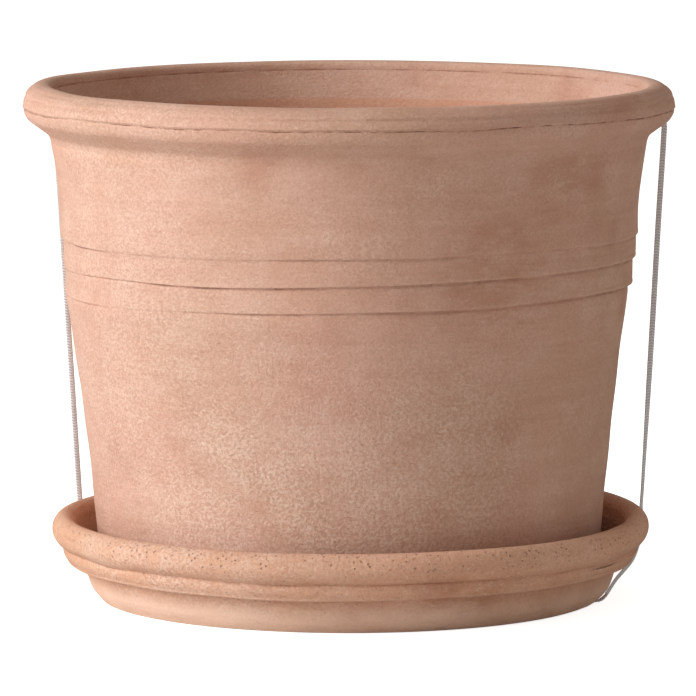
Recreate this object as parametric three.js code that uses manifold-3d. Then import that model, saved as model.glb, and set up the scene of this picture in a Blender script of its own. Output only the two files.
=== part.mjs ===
import * as THREE from "three";
import { mergeVertices } from "three/addons/utils/BufferGeometryUtils.js";
import Module from "manifold-3d";

// A terracotta flower pot that stands in its saucer, with one flat elastic tie that holds the two together.
// Millimetres, +Z up. The origin is the centre of the saucer's foot, on the surface that it stands on.
// The front is -Y. A radius is measured from the Z axis; a "drop" is measured down from the top of its piece.

const wasm = await Module();
wasm.setup();

const turnSteps = 48; // facets round each turned piece
const curveSteps = 4; // straight pieces in each curve of an outline
const clearance = 0.3; // gap between two pieces that touch
const cutterSpare = 6; // how far a cutter runs on past what it cuts

const pot = {
  height: 212, // foot to crest
  footRadius: 107.5,
  footRounding: 3,
  footRingWidth: 14,
  footRecess: 2.2, // the middle of the base is hollowed by this much
  drainRadius: 12.5,
  floor: 11, // thickness of the base, from foot to inner floor
  floorFillet: 9,
  wall: 9,
  bodyHollow: 2, // how far the side's outline bows inwards from straight
};

const lip = {
  radius: 140, // widest radius of the whole pot
  rounding: 8.5, // outer quarter round, from crest to equator
  width: 12.6, // equator to mouth
  mouthDrop: 3.4, // inner quarter round, from crest to the crease
  creaseDepth: 0.7,
  creaseHeight: 1.4,
  rollDrop: 15.1, // crest to the roll's lower corner
  rollInset: 2.5, // the lower corner stands in from the equator by this much
  rollBulge: 1.5, // how far the curve over the lower corner stands out from it
  underDrop: 20.4, // crest to the inner end of the sloping underside
  underReach: 2.4, // neck to the inner end of the sloping underside
  overhang: 12, // equator to the neck's radius
  neckDrop: 25, // crest to the neck, where the cove ends
  coveReach: 0.6, // the cove's curve turns this far out from the neck
};

const steps = {
  count: 3,
  firstDrop: 64.3, // crest to the first step
  pitch: 11.15,
  inset: 1.1, // each step goes in by this much
  edge: 0.6, // height of the small ledge
  neckInset: 3.7, // neck to the wall above the first step
};

const saucer = {
  room: 1, // flat floor beyond the pot's foot
  height: 35.6, // foot to crest
  floorTop: 9.7,
  footRecess: 2.5,
  footRingWidth: 12,
  wall: 7, // side wall, from the edge of the floor to the top of the lower wall
  wallFlare: 3, // the lower wall leans out by this much
  footRounding: 6.5, // height of the rounded lower edge
  footBulge: 1.5, // how far that edge's curve swells out from straight
  footInset: 5.5, // lower wall to the foot's edge
  bandProud: 8.7, // the band stands out from the lower wall by this much
  bandTaper: 1.9, // the band leans in towards its lower edge by this much
  bandBottom: 15.8,
  bandTop: 22.4,
  grooveDepth: 0.6,
  rollProud: 4.6, // the roll's equator stands out from the band by this much
  rollShoulder: 0.8, // the roll's lower edge stands out from the band by this much
  rollWidth: 10.6,
  rollHalfHeight: 6,
  rollFall: 4, // the roll's outline keeps its full radius for about this far below the equator
  floorFillet: 4.5,
  innerInset: 3, // the inner wall stands in from the top of the lower wall by this much
};

const tie = {
  radius: 0.6, // of the cord's plain core
  planeTurn: THREE.MathUtils.degToRad(-7.02), // the upper runs lie in one upright plane, turned by this much
  planeOffset: 32.5, // and standing this far behind the axis
  holeRadius: 1.6,
  holeSetback: 0.9, // the lip's lower corner to the hole's outer mouth, inwards and down
  seatInset: 4.4, // mouth to the wall at the hole's inner end
  seatDrop: 15.2, // crest to the hole's inner end
  knotRadius: 2.5,
  knotStandoff: 1.2, // knot to the end of the hole, where the wall slopes
  notchTurn: THREE.MathUtils.degToRad(-20.04), // direction of the run under the foot
  notchOffset: 14,
  notchWidth: 4.4,
  notchHeight: 2.1,
};

// The cord's route, from the knot on the left, down, under the foot and up to the knot on the right.
const tieRoute = [
  [-113.3, 46.7, 206.8],
  [-119.0, 47.3, 206.3],
  [-124.7, 48.0, 205.7],
  [-127.2, 48.3, 204.9],
  [-128.3, 48.5, 202.6],
  [-128.2, 48.5, 198.0],
  [-125.9, 49.6, 160.0],
  [-123.4, 50.8, 118.0],
  [-120.9, 52.0, 76.0],
  [-119.0, 52.9, 44.0],
  [-118.4, 53.2, 34.0],
  [-118.2, 53.3, 29.6],
  [-117.5, 53.2, 25.7],
  [-115.6, 53.0, 22.0],
  [-112.1, 52.6, 15.4],
  [-105.5, 51.9, 7.0],
  [-100.6, 51.3, 2.6],
  [-97.9, 50.6, 1.0],
  [-94.4, 49.3, 0.9],
  [-60.0, 36.8, 0.9],
  [0.0, 14.9, 0.9],
  [60.0, -7.0, 0.9],
  [103.5, -22.9, 0.9],
  [107.3, -24.2, 1.0],
  [109.7, -21.9, 2.4],
  [115.3, -10.0, 8.2],
  [123.4, 4.3, 15.4],
  [126.3, 11.5, 21.5],
  [127.8, 18.3, 25.7],
  [128.0, 22.4, 29.6],
  [127.4, 24.2, 34.0],
  [127.9, 23.7, 44.0],
  [129.6, 22.0, 76.0],
  [131.8, 19.9, 118.0],
  [133.9, 17.9, 160.0],
  [136.0, 16.0, 198.0],
  [136.1, 16.0, 202.6],
  [135.0, 16.1, 204.9],
  [132.6, 16.4, 205.7],
  [126.9, 17.1, 206.3],
  [121.3, 17.8, 206.8],
];

const clay = new THREE.MeshStandardMaterial({ color: 0xc98f72, roughness: 0.9, metalness: 0 });
const paleClay = new THREE.MeshStandardMaterial({ color: 0xcd957a, roughness: 0.9, metalness: 0 });
const braid = new THREE.MeshStandardMaterial({ color: 0xc9c2c0, roughness: 0.8, metalness: 0 });

const potFoot = saucer.floorTop + clearance;
const potTop = potFoot + pot.height;
const neckRadius = lip.radius - lip.overhang;
const mouthRadius = lip.radius - lip.width;

// ---- turning and cutting ---------------------------------------------------------------

function turned(outline) {
  const geometry = new THREE.LatheGeometry(outline.getPoints(curveSteps), turnSteps);
  return geometry.rotateX(Math.PI / 2);
}

function solid(geometry) {
  const bare = geometry.clone();
  bare.deleteAttribute("normal");
  bare.deleteAttribute("uv");
  const merged = mergeVertices(bare, 1e-4);
  const vertProperties = merged.attributes.position.array;
  const triVerts = withoutSlivers(merged.index.array);
  return new wasm.Manifold(new wasm.Mesh({ numProp: 3, vertProperties, triVerts }));
}

// Triangles that lost an edge when their corners were merged, such as those on the axis, are left out.
function withoutSlivers(index) {
  const kept = [];
  for (let i = 0; i < index.length; i += 3) {
    const [a, b, c] = index.subarray(i, i + 3);
    if (a !== b && b !== c && c !== a) kept.push(a, b, c);
  }
  return new Uint32Array(kept);
}

function geometryOf(manifold) {
  const mesh = manifold.getMesh();
  const geometry = new THREE.BufferGeometry();
  geometry.setAttribute("position", new THREE.BufferAttribute(mesh.vertProperties, mesh.numProp));
  geometry.setIndex(new THREE.BufferAttribute(mesh.triVerts, 1));
  geometry.computeVertexNormals();
  return geometry;
}

function cut(geometry, cutters) {
  const body = solid(geometry);
  return geometryOf(cutters.reduce((left, cutter) => left.subtract(solid(cutter)), body));
}

function named(name, geometry, material) {
  const mesh = new THREE.Mesh(geometry, material);
  mesh.name = name;
  return mesh;
}

// ---- the tie's own places --------------------------------------------------------------

// A point of the upright plane that holds the cord's upper runs: side is -1 on the left and 1 on the right.
function tiePlanePoint(side, radius, z) {
  const along = side * Math.sqrt(radius ** 2 - tie.planeOffset ** 2);
  const point = new THREE.Vector3(along, tie.planeOffset, z);
  return point.applyAxisAngle(new THREE.Vector3(0, 0, 1), tie.planeTurn);
}

function tieHoleEnds(side) {
  const mouthOfHole = lip.radius - lip.rollInset - tie.holeSetback;
  return {
    outer: tiePlanePoint(side, mouthOfHole, potTop - lip.rollDrop - tie.holeSetback),
    inner: tiePlanePoint(side, mouthRadius - tie.seatInset, potTop - tie.seatDrop),
  };
}

function tieHoleCutter(side) {
  const { outer, inner } = tieHoleEnds(side);
  const direction = outer.clone().sub(inner);
  const length = direction.length() + 2 * cutterSpare;
  const cutter = new THREE.CylinderGeometry(tie.holeRadius, tie.holeRadius, length, 12);
  const up = new THREE.Vector3(0, 1, 0);
  cutter.applyQuaternion(new THREE.Quaternion().setFromUnitVectors(up, direction.normalize()));
  const middle = outer.clone().lerp(inner, 0.5);
  return cutter.translate(middle.x, middle.y, middle.z);
}

function tieNotchCutter() {
  const length = 2 * (pot.footRadius + saucer.room + saucer.wall + cutterSpare);
  const cutter = new THREE.BoxGeometry(length, tie.notchWidth, tie.notchHeight + cutterSpare);
  cutter.translate(0, tie.notchOffset, (tie.notchHeight - cutterSpare) / 2);
  return cutter.rotateZ(tie.notchTurn);
}

// ---- pot -------------------------------------------------------------------------------

function addPotBase(outline) {
  const ringInside = pot.footRadius - pot.footRingWidth;
  outline.moveTo(pot.drainRadius, potFoot + pot.footRecess);
  outline.lineTo(ringInside - pot.footRecess, potFoot + pot.footRecess);
  outline.lineTo(ringInside, potFoot);
  outline.lineTo(pot.footRadius - pot.footRounding, potFoot);
  outline.quadraticCurveTo(pot.footRadius, potFoot, pot.footRadius, potFoot + pot.footRounding);
}

function addPotSide(outline) {
  const wallTop = neckRadius - steps.neckInset;
  const bodyRadius = wallTop - steps.count * steps.inset;
  const bodyTop = potTop - steps.firstDrop - (steps.count - 1) * steps.pitch - steps.edge;
  const bodyFoot = potFoot + pot.footRounding;
  const middleRadius = (pot.footRadius + bodyRadius) / 2 - pot.bodyHollow;
  outline.quadraticCurveTo(middleRadius, (bodyFoot + bodyTop) / 2, bodyRadius, bodyTop);
  for (let step = steps.count - 1; step >= 0; step -= 1) {
    const z = potTop - steps.firstDrop - step * steps.pitch;
    const above = wallTop - step * steps.inset;
    outline.lineTo(above - steps.inset, z - steps.edge);
    outline.lineTo(above, z);
  }
  const neckZ = potTop - lip.neckDrop;
  const flareZ = (neckZ + potTop - steps.firstDrop) / 2;
  outline.quadraticCurveTo(wallTop, flareZ, neckRadius, neckZ);
}

function addPotLip(outline) {
  const equatorZ = potTop - lip.rounding;
  const rollRadius = lip.radius - lip.rollInset;
  const rollZ = potTop - lip.rollDrop;
  const underRadius = neckRadius + lip.underReach;
  const underZ = potTop - lip.underDrop;
  const creaseZ = equatorZ - lip.creaseHeight;
  const coveZ = underZ - 2 * lip.coveReach;
  outline.quadraticCurveTo(neckRadius + lip.coveReach, coveZ, underRadius, underZ);
  outline.lineTo(rollRadius, rollZ);
  const bulgeRadius = rollRadius + lip.rollBulge;
  outline.quadraticCurveTo(bulgeRadius, rollZ + lip.rollBulge, lip.radius - lip.creaseDepth / 2, creaseZ);
  outline.lineTo(lip.radius - 1.5 * lip.creaseDepth, creaseZ + lip.creaseHeight / 2);
  outline.lineTo(lip.radius, equatorZ);
  outline.absarc(lip.radius - lip.rounding, equatorZ, lip.rounding, 0, Math.PI / 2, false);
  outline.quadraticCurveTo(mouthRadius, potTop, mouthRadius, potTop - lip.mouthDrop);
  outline.lineTo(mouthRadius + lip.creaseDepth, potTop - lip.mouthDrop - lip.creaseHeight / 2);
  outline.lineTo(mouthRadius - lip.creaseDepth / 2, potTop - lip.mouthDrop - lip.creaseHeight);
}

function addPotInside(outline) {
  const seatRadius = mouthRadius - tie.seatInset;
  const seatZ = potTop - tie.seatDrop;
  const wallTop = neckRadius - steps.neckInset - pot.wall;
  const middleRadius = (wallTop + pot.footRadius - pot.wall) / 2 - pot.bodyHollow;
  const neckZ = potTop - steps.firstDrop + steps.pitch;
  const floorZ = potFoot + pot.floor;
  const floorRadius = pot.footRadius - pot.wall;
  const sideFootZ = floorZ + pot.floorFillet;
  outline.lineTo(seatRadius, seatZ);
  outline.quadraticCurveTo(wallTop, (seatZ + neckZ) / 2, wallTop, neckZ);
  outline.quadraticCurveTo(middleRadius, (neckZ + sideFootZ) / 2, floorRadius, sideFootZ);
  outline.quadraticCurveTo(floorRadius, floorZ, floorRadius - pot.floorFillet, floorZ);
  outline.lineTo(pot.drainRadius, floorZ);
  outline.lineTo(pot.drainRadius, potFoot + pot.footRecess);
}

function makePot() {
  const outline = new THREE.Path();
  addPotBase(outline);
  addPotSide(outline);
  addPotLip(outline);
  addPotInside(outline);
  return named("pot", cut(turned(outline), [tieHoleCutter(-1), tieHoleCutter(1)]), clay);
}

// ---- saucer ----------------------------------------------------------------------------

function makeSaucer() {
  const floorRadius = pot.footRadius + saucer.room;
  const wallRadius = floorRadius + saucer.wall;
  const lowerRadius = wallRadius - saucer.wallFlare;
  const footRadius = lowerRadius - saucer.footInset;
  const bandRadius = wallRadius + saucer.bandProud;
  const equatorRadius = bandRadius + saucer.rollProud;
  const innerRadius = wallRadius - saucer.innerInset;
  const equatorZ = saucer.height - saucer.rollHalfHeight;
  const ringInside = footRadius - saucer.footRingWidth;
  const outline = new THREE.Path();
  outline.moveTo(0, saucer.footRecess);
  outline.lineTo(ringInside - saucer.footRecess, saucer.footRecess);
  outline.lineTo(ringInside, 0);
  outline.lineTo(footRadius, 0);
  const edgeRadius = (footRadius + lowerRadius) / 2 + saucer.footBulge;
  outline.quadraticCurveTo(edgeRadius, saucer.footRounding / 2, lowerRadius, saucer.footRounding);
  outline.lineTo(wallRadius, saucer.bandBottom - saucer.grooveDepth);
  outline.lineTo(bandRadius - saucer.bandTaper - saucer.grooveDepth, saucer.bandBottom);
  outline.lineTo(bandRadius - saucer.bandTaper, saucer.bandBottom + saucer.grooveDepth);
  outline.lineTo(bandRadius, saucer.bandTop - saucer.grooveDepth);
  outline.lineTo(bandRadius - saucer.grooveDepth, saucer.bandTop);
  outline.lineTo(bandRadius + saucer.rollShoulder, saucer.bandTop + saucer.grooveDepth);
  outline.quadraticCurveTo(equatorRadius, equatorZ - saucer.rollFall, equatorRadius, equatorZ);
  const rollHalfWidth = saucer.rollWidth / 2;
  const rollRadius = equatorRadius - rollHalfWidth;
  outline.absellipse(rollRadius, equatorZ, rollHalfWidth, saucer.rollHalfHeight, 0, Math.PI, false, 0);
  outline.lineTo(innerRadius, saucer.floorTop + saucer.floorFillet);
  outline.quadraticCurveTo(innerRadius, saucer.floorTop, floorRadius, saucer.floorTop);
  outline.lineTo(0, saucer.floorTop);
  return named("saucer", cut(turned(outline), [tieNotchCutter()]), paleClay);
}

// ---- tie cord and its knots ------------------------------------------------------------

// The route is sampled evenly between its points, so its bends, where the points lie close, are finest.
class RouteCurve extends THREE.CatmullRomCurve3 {
  getUtoTmapping(u) {
    return u;
  }
}

function makeTieCord() {
  const route = new RouteCurve(tieRoute.map(([x, y, z]) => new THREE.Vector3(x, y, z)), false, "centripetal");
  const sides = 8;
  const section = new THREE.Shape();
  for (let side = 0; side < sides; side += 1) {
    const angle = (2 * Math.PI * side) / sides;
    const corner = [tie.radius * Math.cos(angle), tie.radius * Math.sin(angle)];
    if (side === 0) section.moveTo(...corner);
    else section.lineTo(...corner);
  }
  section.closePath();
  const samples = 2 * (tieRoute.length - 1);
  const geometry = new THREE.ExtrudeGeometry(section, { steps: samples, extrudePath: route });
  return named("tie_cord", geometry, braid);
}

function makeKnot(name, side) {
  const { outer, inner } = tieHoleEnds(side);
  const inwards = inner.clone().sub(outer).normalize();
  const middle = inner.clone().addScaledVector(inwards, tie.knotRadius + tie.knotStandoff);
  const knot = new THREE.SphereGeometry(tie.knotRadius, 12, 8).rotateX(Math.PI / 2);
  return named(name, knot.translate(middle.x, middle.y, middle.z), braid);
}

const assembly = new THREE.Group();
assembly.add(makePot());
assembly.add(makeSaucer());
assembly.add(makeTieCord());
assembly.add(makeKnot("knot_left", -1));
assembly.add(makeKnot("knot_right", 1));

export default assembly;
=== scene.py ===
"""Terracotta pot, saucer and flat elastic tie: fine surfaces and materials, built round the CAD frame."""

import math

import bmesh
import bpy
import numpy as np
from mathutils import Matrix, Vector


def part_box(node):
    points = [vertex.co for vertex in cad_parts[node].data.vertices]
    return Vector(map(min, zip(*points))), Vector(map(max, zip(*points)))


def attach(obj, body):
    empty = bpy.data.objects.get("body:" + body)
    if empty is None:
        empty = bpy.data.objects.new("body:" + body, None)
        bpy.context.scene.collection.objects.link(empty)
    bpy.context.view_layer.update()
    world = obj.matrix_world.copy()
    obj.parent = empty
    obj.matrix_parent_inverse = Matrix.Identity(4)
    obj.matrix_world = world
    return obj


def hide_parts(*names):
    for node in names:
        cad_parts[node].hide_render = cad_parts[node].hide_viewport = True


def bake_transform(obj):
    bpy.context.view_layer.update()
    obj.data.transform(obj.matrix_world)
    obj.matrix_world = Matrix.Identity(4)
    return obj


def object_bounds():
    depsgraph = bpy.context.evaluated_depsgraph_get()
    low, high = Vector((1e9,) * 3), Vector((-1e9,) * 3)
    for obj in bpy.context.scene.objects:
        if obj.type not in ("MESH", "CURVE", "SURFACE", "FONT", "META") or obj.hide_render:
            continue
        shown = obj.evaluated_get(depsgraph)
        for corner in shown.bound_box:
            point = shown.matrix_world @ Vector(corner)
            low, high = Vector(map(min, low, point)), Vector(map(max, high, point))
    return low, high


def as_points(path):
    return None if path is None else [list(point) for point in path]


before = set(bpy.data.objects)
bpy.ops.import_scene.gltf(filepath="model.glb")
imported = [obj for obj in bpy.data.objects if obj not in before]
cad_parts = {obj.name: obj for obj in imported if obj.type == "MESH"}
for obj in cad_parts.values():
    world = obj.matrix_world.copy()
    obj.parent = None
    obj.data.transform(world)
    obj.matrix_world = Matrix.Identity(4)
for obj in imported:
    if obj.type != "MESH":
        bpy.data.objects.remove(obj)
cad_low, cad_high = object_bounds()

MM = 0.001
TURN = 2 * math.pi
SEED = 20
TURNED_SIDES = 640

pot_low, pot_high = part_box("pot")
_, saucer_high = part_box("saucer")

# Sizes in millimetres, as in the CAD model. Radii are from the pot's axis, drops are below the piece's top.
POT_TOP = pot_high.z / MM
POT_FOOT = pot_low.z / MM
LIP_RADIUS = pot_high.x / MM
LIP_ROUNDING = 8.5
MOUTH_RADIUS = LIP_RADIUS - 12.6
MOUTH_DROP = 3.4
LIP_CREASE_DROP = 9.2
LIP_FACET_DROP = 4.9
ROLL_DROP = 15.1
ROLL_INSET = 2.5
UNDER_DROP = 20.4
UNDER_REACH = 2.4
NECK_RADIUS = LIP_RADIUS - 12.0
NECK_DROP = 25.0
COVE_REACH = 0.6
STEP_DROPS = (64.3, 75.45, 86.6)
STEP_INSET = 1.1
STEP_REACH = 3.4
# From the top ledge to the lowest: how much each rises to the right, is deeper there, and dips at the sides.
LEDGE_SLANT = (1.5, 1.8, 2.7)
LEDGE_LEAN = (-0.2, 0.1, 0.9)
LEDGE_DIP = (0.3, 0.3, 0.6)
WALL_TOP_RADIUS = NECK_RADIUS - 3.7
BODY_RADIUS = WALL_TOP_RADIUS - len(STEP_DROPS) * STEP_INSET
POT_FOOT_RADIUS = 107.5
POT_RING_WIDTH = 14.0
POT_FOOT_RECESS = 2.2
POT_FOOT_ROUNDING = 3.0
POT_WALL = 9.0
BODY_HOLLOW = 2.0
DRAIN_RADIUS = 12.5
POT_FLOOR = 11.0
POT_INNER_ROUNDING = 9.0
INNER_NECK_RISE = 11.15
SEAT_INSET = 4.4
SEAT_DROP = 15.2

SAUCER_TOP = saucer_high.z / MM
SAUCER_RADIUS = saucer_high.x / MM
SAUCER_WALL_RADIUS = POT_FOOT_RADIUS + 8.0
SAUCER_LOWER_RADIUS = SAUCER_WALL_RADIUS - 3.0
SAUCER_FOOT_RADIUS = SAUCER_LOWER_RADIUS - 5.5
SAUCER_FOOT_ROUNDING = 6.5
SAUCER_FOOT_BULGE = 1.5
SAUCER_RING_WIDTH = 12.0
SAUCER_FOOT_RECESS = 2.5
SAUCER_INNER_RADIUS = SAUCER_WALL_RADIUS - 3.0
SAUCER_FLOOR = 9.7
BAND_RADIUS = SAUCER_WALL_RADIUS + 8.7
BAND_TAPER = 1.9
BAND_BOTTOM = 15.8
BAND_TOP = 22.4
ROLL_HALF_HEIGHT = 6.0
ROLL_HALF_WIDTH = 5.3
# The saucer's rim is higher at the rear, most of all on the right, and its wall sits a little to the right.
REAR_RISE = 0.9
CORNER_RISE = 1.3
CORNER_TURN = math.radians(115)
SAUCER_SHIFT = 0.6

# The tie. It is flat on the foot below UNDER_FOOT, and one bar cuts both notches it passes through.
TIE_LOWEST = 0.9
TAPE_WIDTH = 2.5
TAPE_THICKNESS = 0.7
TAPE_STEP = 0.3
TAPE_SIDES = 20
WEAVE_PERIOD = 1.25
UNDER_FOOT = 3.0
TIE_HOLE_RADIUS = 1.6
TIE_HOLE_OVERRUN = 12.0
NOTCH_SIZE = (260.0, 4.4, 4.2)
NOTCH_MIDDLE = -0.1

# How bright the floor and the sky are. The glow and SKY_SEEN are for the camera only.
FLOOR_GLOW = 0.8
FLOOR_GAP = 0.2
SKY_LIGHT = 0.37
SKY_SEEN = 1.08
SKY_COLOUR = (1.0, 0.97, 0.94, 1.0)

# The clay's two ground tones and paler patches in 0-255 screen values, and the share of cells with a pit.
POT_TONES = ((212, 164, 141), (204, 160, 134), (222, 182, 161))
SAUCER_TONES = ((221, 168, 137), (213, 162, 129), (230, 186, 157))
POT_PITS = 0.06
SAUCER_PITS = 0.6

# Where the clay is marked: a place, the radii where the mark is full and gone, in metres, and its strength.
POT_BLOOMS_AND_HIGHLIGHTS = [
    ((0.03, -0.11, 0.065), 0.02, 0.07, 0.6),
    ((-0.05, -0.1, 0.045), 0.02, 0.085, 0.8),
    # The two places on the left are painted highlight: paler clay where the key light falls strongest.
    ((-0.1, -0.06, 0.12), 0.03, 0.1, 0.5),
    ((-0.1, -0.09, 0.2), 0.03, 0.08, 0.45),
]
POT_STAINS = [((0.093, -0.09, 0.188), 0.004, 0.03, 0.4), ((0.06, -0.1, 0.15), 0.01, 0.045, 0.4)]
# The saucer's patch, low on its wall, is partly bloom and partly painted light bounced from the floor.
SAUCER_BLOOMS_AND_BOUNCE = [((-0.08, -0.1, 0.02), 0.03, 0.1, 0.8)]
SAUCER_STAINS = [((0.05, -0.11, 0.008), 0.008, 0.03, 0.6), ((-0.02, -0.11, 0.012), 0.01, 0.03, 0.3)]
ROUGH_PLACE = (0.03, -0.12, 0.05)


# ---- camera ------------------------------------------------------------------------------


def make_camera():
    """Stands where the photographer stood: about 3 m away and a little above, with a long lens."""
    elevation = math.radians(6.65)
    distance = 2.984
    aim = Vector((-0.0004, 0.0, 0.1074))
    data = bpy.data.cameras.new("camera")
    data.sensor_width = 36.0
    data.lens = 358.0
    camera = bpy.data.objects.new("camera", data)
    back = Vector((0.0, -math.cos(elevation), math.sin(elevation)))
    camera.location = aim + distance * back
    camera.rotation_euler = back.to_track_quat("Z", "Y").to_euler()
    bpy.context.scene.collection.objects.link(camera)
    bpy.context.scene.camera = camera


# ---- outlines and turned solids ----------------------------------------------------------


class Outline:
    """A closed outline in the r-z plane, in millimetres: lines and curves, sampled at an even step."""

    def __init__(self, r, z, part):
        self.points = [(r, z)]
        self.parts = [part]
        self.part = part

    def _add(self, point):
        self.points.append(point)
        self.parts.append(self.part)

    def line(self, r, z, step=3.0):
        r0, z0 = self.points[-1]
        count = max(1, round(math.hypot(r - r0, z - z0) / step))
        for i in range(1, count + 1):
            t = i / count
            self._add((r0 + (r - r0) * t, z0 + (z - z0) * t))

    def curve(self, through_r, through_z, r, z, step=2.5):
        """A quadratic curve that heads for its middle point and ends at (r, z)."""
        r0, z0 = self.points[-1]
        length = math.hypot(through_r - r0, through_z - z0) + math.hypot(r - through_r, z - through_z)
        count = max(3, round(length / step))
        for i in range(1, count + 1):
            t = i / count
            a, b, c = (1 - t) ** 2, 2 * t * (1 - t), t * t
            self._add((a * r0 + b * through_r + c * r, a * z0 + b * through_z + c * z))

    def ellipse(self, centre_r, centre_z, half_width, half_height, start, end, count):
        """An elliptical arc, from start to end in degrees."""
        for i in range(1, count + 1):
            angle = math.radians(start + (end - start) * i / count)
            self._add((centre_r + half_width * math.cos(angle), centre_z + half_height * math.sin(angle)))


def waves(rng, lowest, highest, fall=0.7):
    """A smooth random function of the angle that closes on itself, mostly within -1 to 1."""
    orders = np.arange(lowest, highest + 1)
    sizes = orders.astype(float) ** -fall
    sizes *= 1.3 / math.sqrt(float(np.sum(sizes**2)))
    phases = rng.uniform(0, TURN, len(orders))

    def value(theta):
        return np.sum(sizes[:, None] * np.sin(np.outer(orders, theta) + phases[:, None]), axis=0)

    return value


def smooth(x):
    """0 below 0, 1 above 1, and an S-curve between."""
    x = np.clip(x, 0.0, 1.0)
    return x * x * (3 - 2 * x)


def bump_at(x, width):
    """1 at 0, falling away over width on both sides."""
    return np.exp(-((x / width) ** 2))


def revolve(name, outline, shape):
    """Turns the outline round the Z axis, from the front to the right.

    shape(theta, r, z, part) gives each row's radii and heights, how dark its painted shade is, and how much
    wear and painted light it has. An outline that starts on the axis ends there too, and any other outline
    closes on itself.
    """
    theta = np.arange(TURNED_SIDES) * TURN / TURNED_SIDES
    rows = [shape(theta, r, z, part) for (r, z), part in zip(outline.points, outline.parts)]
    closed = outline.points[0][0] != 0.0
    verts, dark, worn, starts = [], [], [], []
    for (r0, _), (r, z, row_dark, row_worn) in zip(outline.points, rows):
        starts.append(len(verts))
        if r0 == 0.0:
            verts.append((0.0, 0.0, float(np.mean(z)) * MM))
            dark.append(0.0)
            worn.append(0.0)
            continue
        xyz = np.stack([r * np.sin(theta), -r * np.cos(theta), z + 0 * theta], axis=1) * MM
        verts.extend(map(tuple, xyz))
        dark.extend(row_dark + 0 * theta)
        worn.extend(row_worn + 0 * theta)
    faces = []
    count = len(rows)
    for i in range(count if closed else count - 1):
        a, b = starts[i], starts[(i + 1) % count]
        first_pole = outline.points[i][0] == 0.0
        last_pole = outline.points[(i + 1) % count][0] == 0.0
        for k in range(TURNED_SIDES):
            n = (k + 1) % TURNED_SIDES
            if first_pole:
                faces.append((a, b + n, b + k))
            elif last_pole:
                faces.append((a + k, a + n, b))
            else:
                faces.append((a + k, a + n, b + n, b + k))
    return make_piece(name, verts, faces, dark=dark, worn=worn)


def make_piece(name, verts, faces, **paints):
    """A smooth piece from corners and faces. The paints are values at the corners that its material reads."""
    mesh = bpy.data.meshes.new(name)
    mesh.from_pydata(verts, [], faces)
    for key, values in paints.items():
        mesh.attributes.new(key, "FLOAT", "POINT").data.foreach_set("value", np.array(values, np.float32))
    mesh.shade_smooth()
    mesh.update()
    piece = bpy.data.objects.new(name, mesh)
    bpy.context.scene.collection.objects.link(piece)
    return piece


def cut(piece, cutters):
    """Cuts the cutters out of the piece and throws them away."""
    for cutter in cutters:
        modifier = piece.modifiers.new("cut", "BOOLEAN")
        modifier.object = cutter
        modifier.operation = "DIFFERENCE"
        modifier.solver = "EXACT"
    bpy.context.view_layer.update()
    done = bpy.data.meshes.new_from_object(piece.evaluated_get(bpy.context.evaluated_depsgraph_get()))
    piece.modifiers.clear()
    piece.data = done
    piece.data.name = piece.name
    for cutter in cutters:
        bpy.data.objects.remove(cutter)


# ---- pot ---------------------------------------------------------------------------------


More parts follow.
